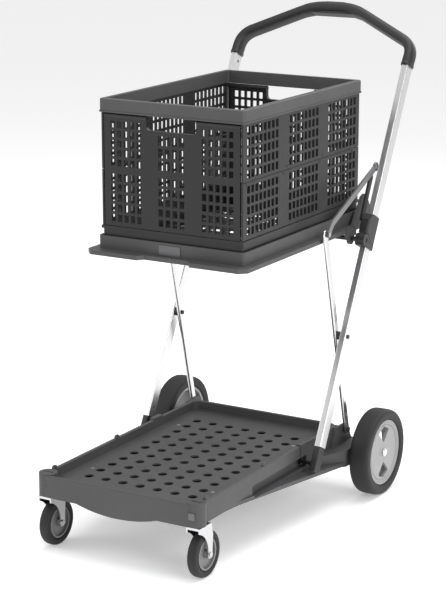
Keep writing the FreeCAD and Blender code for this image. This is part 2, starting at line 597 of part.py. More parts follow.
def hinge_bracket(sign):
    """Clevis on top of the lower tube: two ears that hold the joint rod."""
    x0, x1 = BLOCK_X - BLOCK_T / 2, BLOCK_X + BLOCK_T / 2
    rear = TUBE_W / 2 + 2.2
    body = block_slab(x0, x1, -TUBE_W / 2 - 3, rear, HINGE_S - BLOCK_DOWN, HINGE_S - GAP, 3.0)
    neck = stadium(along_tube(HINGE_S - 9, -TUBE_W / 2 + 4), HANDLE_HINGE, 2 * BLOCK_EYE_R - 6, x0, x1)
    below = block_slab(x0 - 1, x1 + 1, -90, 60, HINGE_S - BLOCK_DOWN, HINGE_S - GAP, 0.5)
    neck = neck.common(below)
    part = tidy_fuse(body, neck, rod_x(BLOCK_EYE_R, x0, x1, HANDLE_HINGE))
    slot_half = TONGUE_T / 2 + GAP
    slot = rod_x(BLOCK_EYE_R + 2 * GAP, BLOCK_X - slot_half, BLOCK_X + slot_half, HANDLE_HINGE)
    part = part.cut([slot, hinge_outline(ROD_D / 2), tube_run(HINGE_S - 60, HINGE_S - 2.0, 0)])
    return part if sign > 0 else mirrored(part)


def handle_block(sign):
    """Moulded block at the foot of the handle tube, with a tongue that turns on the rod."""
    x0, x1 = BLOCK_X - BLOCK_T / 2, BLOCK_X + BLOCK_T / 2
    rear = TUBE_W / 2 + 2.2
    front = HINGE_V - 6.0
    body = block_slab(x0, x1, front, rear, HINGE_S + GAP, HINGE_S + BLOCK_UP, 4.0)
    slope = side_plate([along_tube(HINGE_S + 42, front - 2), along_tube(HINGE_S + BLOCK_UP + 2, front - 2),
                        along_tube(HINGE_S + BLOCK_UP + 2, -TUBE_W / 2 - 2.5)], x0 - 5, x1 + 5)
    body = body.cut(slope)
    body = body.cut(rod_x(BLOCK_EYE_R + 2 * GAP, 0, 400, HANDLE_HINGE))
    tongue = rod_x(BLOCK_EYE_R - GAP, BLOCK_X - TONGUE_T / 2, BLOCK_X + TONGUE_T / 2, HANDLE_HINGE)
    above = along_tube(HINGE_S + 22, HINGE_V + 6)
    web = stadium(HANDLE_HINGE, above, 2 * BLOCK_EYE_R - 8,
                  BLOCK_X - TONGUE_T / 2, BLOCK_X + TONGUE_T / 2)
    part = tidy_fuse(body, tongue, web)
    part = part.cut([hinge_outline(ROD_D / 2 + RUN), tube_run(HINGE_S + 3, HINGE_S + 200, 0)])
    return part if sign > 0 else mirrored(part)


def joint_rod():
    """Rod that both handle hinges and the upper tray turn on."""
    end = BLOCK_X + BLOCK_T / 2 - 1.0
    return rod_x(ROD_D / 2, -end, end, HANDLE_HINGE)


def link_bar(sign):
    """Flat bar from the leg top to the handle, with a dog-leg lower end."""
    x0, x1 = LINK_X - LINK_T / 2, LINK_X + LINK_T / 2
    bar = tidy_fuse(stadium(LEG_TOP, LINK_BEND, LINK_W, x0, x1),
                    stadium(LINK_BEND, LINK_TOP, LINK_W, x0, x1),
                    rod_x(LINK_W * 0.75, x0, x1, LINK_TOP))
    bar = bar.cut([rod_x(BOLT_D / 2 + RUN, 0, 300, LEG_TOP), rod_x(3.0, 0, 300, LINK_TOP)])
    return bar if sign > 0 else mirrored(bar)


def link_rivets():
    """Rivets in the upper ends of the link bars."""
    x0, x1 = LINK_X - LINK_T / 2, LINK_X + LINK_T / 2
    rivet = tidy_fuse(rod_x(3.0, x0, x1, LINK_TOP), rod_x(6.0, x0 - 2, x0, LINK_TOP))
    return both(rivet)


# ---- handle ---------------------------------------------------------------------------
def rounded_path(points, radii):
    """Straight runs through the points, with a tangent arc of its own radius at each corner."""
    edges = []
    start = points[0]
    for before, corner, after, radius in zip(points, points[1:], points[2:], radii):
        a, b = (before - corner).normalize(), (after - corner).normalize()
        turn = math.pi - a.getAngle(b)
        reach = radius * math.tan(turn / 2)
        p0, p1 = corner + a * reach, corner + b * reach
        middle = (a + b).normalize()
        mid = corner + middle * (radius / math.cos(turn / 2) - radius)
        edges.append(Part.LineSegment(start, p0).toShape())
        edges.append(Part.Arc(p0, mid, p1).toShape())
        start = p1
    edges.append(Part.LineSegment(start, points[-1]).toShape())
    return Part.Wire(edges)


def grip_frame():
    """Origin and up direction of the arch, which leans back more than the tubes."""
    y, z = along_tube(GRIP_S)
    lean = math.radians(TUBE_LEAN + GRIP_TILT)
    return V(0, y, z), V(0, math.sin(lean), math.cos(lean))


def arch_point(x, t):
    """Point of the arch at x and t above its foot."""
    foot, up = grip_frame()
    return foot + up * t + V(x, 0, 0)


def in_arch(solid, t=0.0):
    """Turns a solid made upright at the origin into the plane of the arch."""
    solid.rotate(V(0, 0, 0), X_AXIS, -(TUBE_LEAN + GRIP_TILT))
    foot, up = grip_frame()
    solid.translate(foot + up * t)
    return solid


def grip_body():
    """Swept arch with two sleeves for the tubes, before its pockets are cut."""
    y, z = along_tube(GRIP_S - GRIP_SLEEVE)
    right = [V(TUBE_X, y, z), arch_point(TUBE_X, 0), arch_point(TUBE_X, GRIP_SHOULDER),
             arch_point(GRIP_CROWN_X, GRIP_RISE)]
    left = [V(-p.x, p.y, p.z) for p in reversed(right)]
    radii = [TILT_R, SHOULDER_R, CROWN_R, CROWN_R, SHOULDER_R, TILT_R]
    path = rounded_path(right + left, radii)
    ellipse = Part.Ellipse(V(0, 0, 0), GRIP_W / 2, GRIP_T / 2).toShape()
    ellipse.rotate(V(0, 0, 0), Z_AXIS, 90)
    ellipse.rotate(V(0, 0, 0), X_AXIS, -TUBE_LEAN)
    ellipse.translate(right[0])
    return path.makePipeShell([Part.Wire([ellipse])], True, False, 0)


def grip():
    """Arched grip with a housing for the trigger in its middle."""
    body = grip_body()
    half = GRIP_T / 2
    house = rounded_box(-TRIGGER_X - 12, TRIGGER_X + 12, -TRIGGER_W / 2 - 5, TRIGGER_W / 2 + 5,
                        -half - 1.5, half + 0.5, 5.0)
    house = in_arch(house, GRIP_RISE)
    body = body.fuse(house)
    pocket = box(-TRIGGER_X - 1, TRIGGER_X + 1, -TRIGGER_W / 2 - 1, TRIGGER_W / 2 + 1,
                 -half - 10, -half + TRIGGER_T - 3.5 + TRIGGER_TRAVEL)
    body = body.cut(in_arch(pocket, GRIP_RISE))
    for sign in (1, -1):
        tube = tube_run(GRIP_S - GRIP_SLEEVE - 5, GRIP_S + TUBE_INTO_GRIP, 0)
        body = body.cut(tube if sign > 0 else mirrored(tube))
    return body


def grip_trigger():
    """Squeeze bar that slides up into the grip."""
    half = GRIP_T / 2
    bar = rounded_box(-TRIGGER_X, TRIGGER_X, -TRIGGER_W / 2, TRIGGER_W / 2,
                      -half - 5, -half - 5 + TRIGGER_T, 4.0)
    bar = bar.makeFillet(2.5, [e for e in bar.Edges if e.BoundBox.ZMax < -half - 4.9])
    return in_arch(bar, GRIP_RISE)


def grip_plate():
    """Light plate on top of the grip's middle."""
    half = GRIP_T / 2 + 0.5
    plate = rounded_box(-24, 24, -8, 8, half, half + 1.5, 3.0)
    return in_arch(plate, GRIP_RISE)


def handle_tube(sign):
    """Upper tube from the hinge block into the grip."""
    tube = tube_run(HINGE_S + 3, GRIP_S + TUBE_INTO_GRIP, TUBE_WALL).cut(hinge_outline(BLOCK_EYE_R + 2 * GAP))
    y, z = along_tube(GRIP_S - GRIP_SLEEVE - 16)
    tube = tube.cut(rod_x(3.0, 0, TUBE_X, (y, z)))
    return tube if sign > 0 else mirrored(tube)


def release_struts():
    """Dark bars beside the handle tubes, from the blocks to below the link bars."""
    x0, x1 = STRUT_X - STRUT_T / 2, STRUT_X + STRUT_T / 2
    low, high = along_tube(HINGE_S + 50, -12.0), along_tube(HINGE_S + 142, -14.0)
    bar = stadium(low, high, STRUT_W, x0, x1)
    foot = rod_x(5.0, x1, BLOCK_X - BLOCK_T / 2, low)
    return both(tidy_fuse(bar, foot))


# ---- upper tray -----------------------------------------------------------------------
def upper_tray():
    """Pan with a lip round the crate, front lobes, rear ears and hinge ears."""
    recess = 62.0
    outline = [(-PAN_X, PAN_FRONT + 14), (-PAN_X + 14, PAN_FRONT), (-recess, PAN_FRONT),
               (-recess + 10, PAN_FRONT + 13), (recess - 10, PAN_FRONT + 13), (recess, PAN_FRONT),
               (PAN_X - 14, PAN_FRONT), (PAN_X, PAN_FRONT + 14), (PAN_X, PAN_REAR), (-PAN_X, PAN_REAR)]
    pan = floor_plate(outline, PAN_Z - PAN_T, PAN_Z)
    x_in = RIM_X - PANEL_IN + LIP_GAP
    y0 = CRATE_FRONT + PANEL_IN - LIP_GAP
    y1 = CRATE_REAR - PANEL_IN + LIP_GAP
    lip = rounded_box(-x_in - LIP_T, x_in + LIP_T, y0 - LIP_T, y1 + LIP_T, PAN_Z - 1, LIP_Z, 8.0)
    lip = lip.cut(rounded_box(-x_in, x_in, y0, y1, PAN_Z - 2, LIP_Z + 1, 5.0))
    window = rounded_box(-x_in + 30, x_in - 30, y0 + 30, y1 - 30, PAN_Z - PAN_T - 1, PAN_Z + 1, 10.0)
    skirt_z = PAN_Z - PAN_T - 4
    skirt = floor_plate(outline, skirt_z, PAN_Z - 1)
    inner = rounded_box(-PAN_X + 4, PAN_X - 4, PAN_FRONT + 17, PAN_REAR - 4,
                        skirt_z - 1, PAN_Z - PAN_T, 6.0)
    tray = tidy_fuse(pan.cut(window), lip, skirt.cut(inner).cut(window))
    ears = []
    for _, sign in SIDES:
        x1 = PAN_X + 2.0
        ear = tidy_fuse(rod_x(EAR_R, x1 - EAR_T, x1, HANDLE_HINGE),
                        box(x1 - EAR_T, x1, HANDLE_HINGE[0] - 22, HANDLE_HINGE[0] + 22,
                            HANDLE_HINGE[1] + 4, PAN_Z))
        peak = side_plate([(PAN_REAR - 90, PAN_Z - 2), (PAN_REAR - 46, PAN_Z + 58),
                           (PAN_REAR - 34, PAN_Z + 63),
                           (PAN_REAR - 24, PAN_Z + 58), (PAN_REAR, PAN_Z + 20), (PAN_REAR, PAN_Z - 2)],
                          PAN_X - 7, PAN_X)
        ears += [ear if sign > 0 else mirrored(ear), peak if sign > 0 else mirrored(peak)]
    tray = tidy_fuse(tray, *ears)
    return tray.cut(rod_x(ROD_D / 2 + RUN, -300, 300, HANDLE_HINGE))


def label_plate():
    """Blank light plate on the front lip."""
    y = CRATE_FRONT + PANEL_IN - LIP_GAP - LIP_T
    plate = box(-25, 25, y - 1.5, y, PAN_Z + 1, PAN_Z + 22)
    return plate.makeFillet(2.0, [e for e in plate.Edges if abs(e.tangentAt(0).y) > 0.9])


# ---- crate ----------------------------------------------------------------------------
def rect_wire(points):
    """Closed wire through four corners."""
    return Part.makePolygon(points + points[:1])


def mesh_panel(width, height, windows, thickness):
    """Upright panel in the plane X-Z, from the origin, with rectangular windows cut through."""
    corners = [V(0, 0, 0), V(width, 0, 0), V(width, 0, height), V(0, 0, height)]
    wires = [rect_wire(corners)]
    for x0, x1, z0, z1 in windows:
        wires.append(rect_wire([V(x0, 0, z0), V(x1, 0, z0), V(x1, 0, z1), V(x0, 0, z1)]))
    face = Part.Face(wires[0])
    solid = face.extrude(V(0, thickness, 0))
    cutters = [box(x0, x1, -1, thickness + 1, z0, z1) for x0, x1, z0, z1 in windows]
    return solid.cut(Part.makeCompound(cutters))


def window_grid(start, run, cols, z0, z1, rows):
    """Windows in columns and rows between ribs."""
    pitch_x, pitch_z = run / cols, (z1 - z0) / rows
    for i in range(cols):
        for j in range(rows):
            x, z = start + i * pitch_x, z0 + j * pitch_z
            yield (x + RIB / 2, x + pitch_x - RIB / 2, z + RIB / 2, z + pitch_z - RIB / 2)


def crate_heights():
    """Foot, crease and top of the mesh panels."""
    low = BASE_TOP + 1.0
    high = CRATE_TOP - BAND_H - 1.0
    return low, (low + high) / 2, high


def crate_side(sign, upper):
    """Half of a long side: a mesh panel above or below the crease."""
    low, crease, high = crate_heights()
    z0, z1 = (crease + 0.6, high + 18) if upper else (low, crease - 0.6)
    grid0, grid1 = (4.0, high - crease - 4.0) if upper else (6.0, crease - low - 5.0)
    length = CRATE_L - 2 * PANEL_IN
    windows = []
    run = (CRATE_L - 2 * SIDE_MARGIN - 2 * SIDE_GROUP_GAP) / 3
    for i in range(3):
        start = SIDE_MARGIN - PANEL_IN + i * (run + SIDE_GROUP_GAP)
        windows += list(window_grid(start, run, SIDE_COLS, grid0, grid1, ROWS))
    panel = mesh_panel(length, z1 - z0, windows, PANEL_T)
    panel.rotate(V(0, 0, 0), Z_AXIS, 90)
    panel.translate(V(RIM_X - PANEL_IN, CRATE_FRONT + PANEL_IN, z0))
    if upper:
        trim = box(-400, 400, -10, CRATE_FRONT + RIM_DEPTH + 1, high, high + 60)
        trim_rear = box(-400, 400, CRATE_REAR - RIM_DEPTH - 1, 1200, high, high + 60)
        reach = RIM_X - PANEL_IN - PANEL_T / 2
        pins = [rod_x(PIN_D / 2, 0, reach, end_axis(front)) for front in (True, False)]
        panel = panel.cut([trim, trim_rear] + pins)
    return panel if sign > 0 else mirrored(panel)


def end_axis(front):
    """Side-view point of an end flap's hinge pin."""
    high = crate_heights()[2]
    y = CRATE_FRONT + PANEL_IN + PANEL_T
    return (y if front else CRATE_FRONT + CRATE_REAR - y, high - BARREL_R)


def flap_half():
    """Half the width of an end flap."""
    return RIM_X - PANEL_IN - PANEL_T - 2.5


def crate_end(front):
    """End flap that hangs from its pins: mesh, hand hole under the rim and two hinge barrels."""
    low, crease, _ = crate_heights()
    pin_y, pin_z = end_axis(front)
    y = pin_y - PANEL_T / 2 if front else pin_y + PANEL_T / 2
    half = flap_half()
    hand_top = pin_z + BARREL_R
    hand_low = hand_top - HAND_H - 4.0
    windows = []
    outer_run = END_OUTER_X - END_INNER_X
    for start, run, cols, top_rows, top in (
            (-END_OUTER_X, outer_run, END_COLS, ROWS, pin_z - 8.0),
            (END_INNER_X, outer_run, END_COLS, ROWS, pin_z - 8.0),
            (-END_MIDDLE_X, 2 * END_MIDDLE_X, END_MIDDLE_COLS, ROWS - 2, hand_low - 6.0)):
        windows += list(window_grid(start + half, run, cols, 6.0, crease - low - 5.0, ROWS))
        windows += list(window_grid(start + half, run, cols, crease - low + 5.0, top - low, top_rows))
    panel = mesh_panel(2 * half, pin_z - low, windows, PANEL_T)
    panel.translate(V(-half, y - PANEL_T / 2, low))
    hand = box(-HAND_X, HAND_X, y - 20, y + 20, hand_low, hand_top + 20)
    lower = [e for e in hand.Edges if abs(e.tangentAt(0).y) > 0.9 and e.BoundBox.ZMax < hand_top]
    hand = hand.makeFillet(8.0, lower)
    inside = pin_y - PANEL_T if not front else pin_y
    lip = box(-HAND_X - 4, HAND_X + 4, inside - 0.5, inside + PANEL_T + 0.5, hand_low - 4, pin_z)
    barrels = both(rod_x(BARREL_R, HAND_X, half, (pin_y, pin_z))).Solids
    panel = panel.fuse([lip] + barrels)
    bore = rod_x(PIN_D / 2 + RUN, -half - 5, half + 5, (pin_y, pin_z))
    return panel.cut([hand, bore]).removeSplitter()


def crate_hinge_pins():
    """Rods that the end flaps hang on, held in the side panels."""
    half = RIM_X - PANEL_IN - PANEL_T / 2
    pins = [both(rod_x(PIN_D / 2, HAND_X + 6, half, end_axis(front))) for front in (True, False)]
    return Part.makeCompound([pin for pair in pins for pin in pair.Solids])


def crate_base():
    """Shallow bottom of the crate with a pierced floor."""
    half = RIM_X - PANEL_IN
    y0, y1 = CRATE_FRONT + PANEL_IN, CRATE_REAR - PANEL_IN
    z0 = PAN_Z + SEAT
    pan = rounded_box(-half, half, y0, y1, z0, BASE_TOP, 5.0)
    pan = pan.cut(rounded_box(-half + PANEL_T, half - PANEL_T, y0 + PANEL_T, y1 - PANEL_T,
                              z0 + 4, BASE_TOP + 1, 2.0))
    slots = []
    for x, y in hole_grid(7, 11, 42.0, 42.0, 0, (y0 + y1) / 2):
        slots.append(box(x - 15, x + 15, y - 15, y + 15, z0 - 1, z0 + 5))
    pan = pan.cut(Part.makeCompound(slots))
    ledge = box(-half - 2, half + 2, y0 - 2, y1 + 2, BASE_TOP - 6, BASE_TOP)
    ledge = ledge.cut(box(-half, half, y0, y1, BASE_TOP - 7, BASE_TOP + 1))
    return pan.fuse(ledge).removeSplitter()


def crate_rim():
    """Channel-shaped rim with a bead, which caps the side panels."""
    z0, z1 = CRATE_TOP - BAND_H, CRATE_TOP
    outer = rounded_box(-RIM_X, RIM_X, CRATE_FRONT, CRATE_REAR, z0, z1, 9.0)
    outer = outer.makeFillet(2.5, [e for e in outer.Edges if e.BoundBox.ZMin > z1 - 0.1])
    inner = rounded_box(-RIM_X + RIM_DEPTH, RIM_X - RIM_DEPTH, CRATE_FRONT + RIM_DEPTH,
                        CRATE_REAR - RIM_DEPTH, z0 - 1, z1 + 1, 4.0)
    ring = outer.cut(inner)
    w = RIM_WALL
    cavity = rounded_box(-RIM_X + w, RIM_X - w, CRATE_FRONT + w, CRATE_REAR - w, z0 - 1, z1 - w, 6.5)
    core = rounded_box(-RIM_X + RIM_DEPTH - w, RIM_X - RIM_DEPTH + w, CRATE_FRONT + RIM_DEPTH - w,
                       CRATE_REAR - RIM_DEPTH + w, z0 - 2, z1, 5.0)
    ring = ring.cut(cavity.cut(core))
    bead = rounded_box(-RIM_X - 1.2, RIM_X + 1.2, CRATE_FRONT - 1.2, CRATE_REAR + 1.2, z0, z0 + 3, 9.0)
    bead = bead.cut(rounded_box(-RIM_X + 1, RIM_X - 1, CRATE_FRONT + 1, CRATE_REAR - 1,
                                z0 - 1, z0 + 4, 8.0))
    return ring.fuse(bead)


# ---- everything -----------------------------------------------------------------------
def build():
    """Makes every node."""
    for name, make in (("lower_tray", lower_tray), ("underbody", underbody),
                       ("corner_post_caps", corner_post_caps), ("post_plate", post_plate),
                       ("rear_axle", rear_axle), ("tray_screws", tray_screws),
                       ("leg_pivot_rod", leg_pivot_rod), ("leg_top_pins", leg_top_pins),
                       ("scissor_bolts", scissor_bolts), ("scissor_spacers", scissor_spacers),
                       ("guide_pins", guide_pins), ("joint_rod", joint_rod),
                       ("link_rivets", link_rivets), ("grip", grip), ("grip_trigger", grip_trigger),
                       ("grip_plate", grip_plate), ("release_struts", release_struts),
                       ("upper_tray", upper_tray), ("label_plate", label_plate),
                       ("crate_base", crate_base), ("crate_rim", crate_rim),
                       ("crate_hinge_pins", crate_hinge_pins)):
        add(name, make())
    for side, sign in SIDES:
        for name, make in (("caster_fork", caster_fork), ("caster_stem", caster_stem),
                           ("caster_axle", caster_axle), ("caster_tyre", caster_tyre),
                           ("caster_hub", caster_hub)):
            add(name + "_" + side, make(sign * POST_X))
        for name, make in (("wheel_tyre", wheel_tyre), ("wheel_hub", wheel_hub),
                           ("wheel_bush", wheel_bush), ("hub_cap", hub_cap), ("leg", leg),
                           ("lower_tube", lower_tube), ("tube_end_fitting", tube_end_fitting),
                           ("hinge_bracket", hinge_bracket), ("handle_block", handle_block),
                           ("link_bar", link_bar), ("handle_tube", handle_tube)):
            add(name + "_" + side, make(sign))
        add("crate_side_lower_" + side, crate_side(sign, False))
        add("crate_side_upper_" + side, crate_side(sign, True))
    add("crate_end_front", crate_end(True))
    add("crate_end_rear", crate_end(False))


def export():
    """Moves the origin under the middle of the object and writes one file per node."""
    boxes = [solid.optimalBoundingBox(False, False) for solid in NODES.values()]
    front, rear = min(b.YMin for b in boxes), max(b.YMax for b in boxes)
    shift = V(0, -(front + rear) / 2, -min(b.ZMin for b in boxes))
    os.makedirs("parts", exist_ok=True)
    for name, solid in NODES.items():
        placed = solid.copy()
        placed.translate(shift)
        placed.exportStep("parts/" + name + ".step")
    print("nodes", len(NODES), "moved by", round(shift.y, 4), round(shift.z, 4))


build()
export()
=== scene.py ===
"""Looks of the folding shopping trolley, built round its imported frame. Metres, the frame's own axes."""
import json
import math

import bpy
import numpy as np
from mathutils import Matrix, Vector


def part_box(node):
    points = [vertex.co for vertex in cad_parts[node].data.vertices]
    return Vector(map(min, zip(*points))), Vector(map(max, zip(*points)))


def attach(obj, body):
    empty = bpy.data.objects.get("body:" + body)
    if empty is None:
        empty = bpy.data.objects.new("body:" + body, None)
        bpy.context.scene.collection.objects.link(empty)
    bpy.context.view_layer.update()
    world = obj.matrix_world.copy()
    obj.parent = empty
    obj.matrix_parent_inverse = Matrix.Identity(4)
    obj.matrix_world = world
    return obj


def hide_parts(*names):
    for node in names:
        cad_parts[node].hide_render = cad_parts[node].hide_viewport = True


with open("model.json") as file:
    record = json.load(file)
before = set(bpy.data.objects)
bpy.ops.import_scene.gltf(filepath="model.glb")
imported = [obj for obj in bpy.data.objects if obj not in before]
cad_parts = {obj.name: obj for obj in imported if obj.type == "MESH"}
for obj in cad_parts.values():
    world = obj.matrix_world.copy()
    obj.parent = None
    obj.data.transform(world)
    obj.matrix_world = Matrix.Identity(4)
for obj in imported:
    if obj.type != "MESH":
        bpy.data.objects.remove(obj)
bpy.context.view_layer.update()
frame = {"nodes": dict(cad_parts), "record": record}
NODES = frame["nodes"]
SIDES = (("left", -1), ("right", 1))


# ---- camera, floor and light ------------------------------------------------------------
CAMERA_YAW, CAMERA_PITCH = math.radians(30.413), math.radians(14.143)
CAMERA_AIM, CAMERA_ASIDE, CAMERA_DISTANCE = (0, -0.227, 0.4969), 0.0906, 3.9803
LENS, SENSOR = 119.0, 36.0
FLOOR_HALF, FLOOR_GREY, FLOOR_ROUGHNESS, FLOOR_GLOW = 30.0, 0.90, 0.75, 0.30
SKY_STRENGTH = 0.62
LIGHT_AIM = (0, 0, 0.5)
SOFT_BOXES = (
    ("overhead", (0.3, 0.2, 3.2), 2.6, 70),
    ("right_box", (2.8, -1.2, 1.5), 1.6, 38),
    ("left_box", (-2.6, -2.0, 1.9), 1.6, 22),
    ("rear_box", (0.5, 3.0, 2.0), 2.0, 26),
)


def make_camera():
    """Long lens at the front right, a little above the crate."""
    yaw, pitch = CAMERA_YAW, CAMERA_PITCH
    back = Vector((math.sin(yaw) * math.cos(pitch), -math.cos(yaw) * math.cos(pitch), math.sin(pitch)))
    across = Vector((math.cos(yaw), math.sin(yaw), 0))
    data = bpy.data.cameras.new("camera")
    data.lens, data.sensor_width = LENS, SENSOR
    camera = bpy.data.objects.new("camera", data)
    camera.location = across * CAMERA_ASIDE + Vector(CAMERA_AIM) + back * CAMERA_DISTANCE
    camera.rotation_mode = "QUATERNION"
    camera.rotation_quaternion = (-back).to_track_quat("-Z", "Y")
    bpy.context.scene.collection.objects.link(camera)
    bpy.context.scene.camera = camera


def make_floor():
    """A wide pale floor that glows a little, so that it stays nearly white."""
    mesh = bpy.data.meshes.new("floor")
    half = FLOOR_HALF
    corners = [(-half, -half, 0), (half, -half, 0), (half, half, 0), (-half, half, 0)]
    mesh.from_pydata(corners, [], [(0, 1, 2, 3)])
    floor = bpy.data.objects.new("floor", mesh)
    bpy.context.scene.collection.objects.link(floor)
    material = bpy.data.materials.new("studio_floor")
    material.use_nodes = True
    shader = material.node_tree.nodes["Principled BSDF"]
    shader.inputs["Base Color"].default_value = (FLOOR_GREY, FLOOR_GREY, FLOOR_GREY, 1)
    shader.inputs["Roughness"].default_value = FLOOR_ROUGHNESS
    shader.inputs["Emission Color"].default_value = (1, 1, 1, 1)
    shader.inputs["Emission Strength"].default_value = FLOOR_GLOW
    mesh.materials.append(material)


def area_light(name, place, aim, size, power):
    """A square soft box that faces a point."""
    data = bpy.data.lights.new(name, "AREA")
    data.size, data.energy = size, power
    light = bpy.data.objects.new(name, data)
    light.location = place
    light.rotation_mode = "QUATERNION"
    light.rotation_quaternion = (Vector(aim) - Vector(place)).to_track_quat("-Z", "Y")
    bpy.context.scene.collection.objects.link(light)


def make_light():
    """White surroundings with a large box overhead, one at each side and one behind."""
    bpy.context.scene.view_settings.view_transform = "Standard"
    world = bpy.data.worlds.new("studio")
    bpy.context.scene.world = world
    world.use_nodes = True
    sky = world.node_tree.nodes["Background"]
    sky.inputs["Color"].default_value = (1, 1, 1, 1)
    sky.inputs["Strength"].default_value = SKY_STRENGTH
    for name, place, size, power in SOFT_BOXES:
        area_light(name, place, LIGHT_AIM, size, power)


# ---- materials --------------------------------------------------------------------------
class Finish:
    """A node material with Object coordinates ready to use."""

    def __init__(self, name, colour, roughness, metallic=0.0):
        self.material = bpy.data.materials.new(name)
        self.material.use_nodes = True
        self.tree = self.material.node_tree
        self.shader = self.tree.nodes["Principled BSDF"]
        self.shader.inputs["Roughness"].default_value = roughness
        self.shader.inputs["Metallic"].default_value = metallic
        self.shader.inputs["Base Color"].default_value = (*colour, 1)
        self.place = self.tree.nodes.new("ShaderNodeTexCoord").outputs["Object"]
        self.height = None

    def add(self, kind, **values):
        """A new node with its sockets set."""
        node = self.tree.nodes.new(kind)
        for key, value in values.items():
            if key in node.inputs:
                node.inputs[key].default_value = value
            else:
                setattr(node, key, value)
        return node

    def link(self, out, to):
        """Joins two sockets."""
        self.tree.links.new(out, to)

    def noise(self, scale, stretch=(1, 1, 1), detail=3.0):
        """Noise of about one over scale metres, stretched along the axes."""
        turn = self.add("ShaderNodeMapping")
        turn.inputs["Scale"].default_value = stretch
        self.link(self.place, turn.inputs["Vector"])
        node = self.add("ShaderNodeTexNoise", Scale=scale, Detail=detail)
        self.link(turn.outputs["Vector"], node.inputs["Vector"])
        return node.outputs["Fac"]

    def shade(self, source, low, high, dark, light):
        """Base colour that runs from dark to light with a source value."""
        ramp = self.add("ShaderNodeValToRGB")
        ramp.color_ramp.elements[0].position = low
        ramp.color_ramp.elements[1].position = high
        ramp.color_ramp.elements[0].color = (*dark, 1)
        ramp.color_ramp.elements[1].color = (*light, 1)
        self.link(source, ramp.inputs["Fac"])
        self.link(ramp.outputs["Color"], self.shader.inputs["Base Color"])

    def gloss(self, source, low, high):
        """Roughness that runs from low to high with a source value."""
        spread = self.add("ShaderNodeMapRange")
        spread.inputs["To Min"].default_value = low
        spread.inputs["To Max"].default_value = high
        self.link(source, spread.inputs["Value"])
        self.link(spread.outputs["Result"], self.shader.inputs["Roughness"])

    def bump(self, source, depth, strength=1.0):
        """Relief of a source value, in metres, on top of any earlier relief."""
        node = self.add("ShaderNodeBump", Strength=strength, Distance=depth)
        self.link(source, node.inputs["Height"])
        if self.height is not None:
            self.link(self.height, node.inputs["Normal"])
        self.height = node.outputs["Normal"]
        self.link(self.height, self.shader.inputs["Normal"])


def tint(colour, factor):
    """A colour made lighter or darker."""
    return tuple(min(1.0, c * factor) for c in colour)


def moulded_plastic(name, colour, roughness, grain=900.0, relief=0.00012):
    """Moulded plastic: spark-eroded grain, faint flow clouds and scuffs."""
    finish = Finish(name, colour, roughness)
    clouds = finish.noise(7.0)
    finish.shade(clouds, 0.3, 0.7, tint(colour, 0.88), tint(colour, 1.12))
    finish.gloss(finish.noise(60.0, detail=6.0), roughness - 0.07, roughness + 0.09)
    finish.bump(finish.noise(grain, detail=2.0), relief, 0.5)
    return finish.material


def drawn_metal(name, colour, roughness, stretch, relief=0.00003):
    """Drawn or brushed metal: fine streaks along the piece."""
    finish = Finish(name, colour, roughness, metallic=1.0)
    streaks = finish.noise(420.0, stretch=stretch, detail=4.0)
    finish.shade(streaks, 0.25, 0.75, tint(colour, 0.94), tint(colour, 1.04))
    finish.gloss(streaks, roughness - 0.06, roughness + 0.1)
    finish.bump(streaks, relief, 0.35)
    return finish.material


def bright_plating(name, colour, roughness):
    """Chrome plating with a slight orange peel and fingerprints."""
    finish = Finish(name, colour, roughness, metallic=1.0)
    finish.gloss(finish.noise(35.0, detail=5.0), roughness * 0.6, roughness * 1.7)
    finish.bump(finish.noise(160.0), 0.00004, 0.25)
    return finish.material


def tyre_rubber(name, colour):
    """Rubber with a dusty bloom and fine pores."""
    finish = Finish(name, colour, 0.62)
    bloom = finish.noise(16.0, detail=5.0)
    finish.shade(bloom, 0.3, 0.75, tint(colour, 0.8), tint(colour, 1.35))
    finish.gloss(bloom, 0.5, 0.75)
    finish.bump(finish.noise(700.0, detail=2.0), 0.00015, 0.5)
    return finish.material


def soft_grip(name, colour):
    """Soft-touch grip skin with a fine pebble."""
    finish = Finish(name, colour, 0.5)
    finish.shade(finish.noise(25.0), 0.3, 0.7, tint(colour, 0.85), tint(colour, 1.2))
    pebble = finish.add("ShaderNodeTexVoronoi", Scale=620.0)
    finish.link(finish.place, pebble.inputs["Vector"])
    finish.bump(pebble.outputs["Distance"], 0.00018, 0.4)
    finish.gloss(finish.noise(40.0), 0.42, 0.58)
    return finish.material


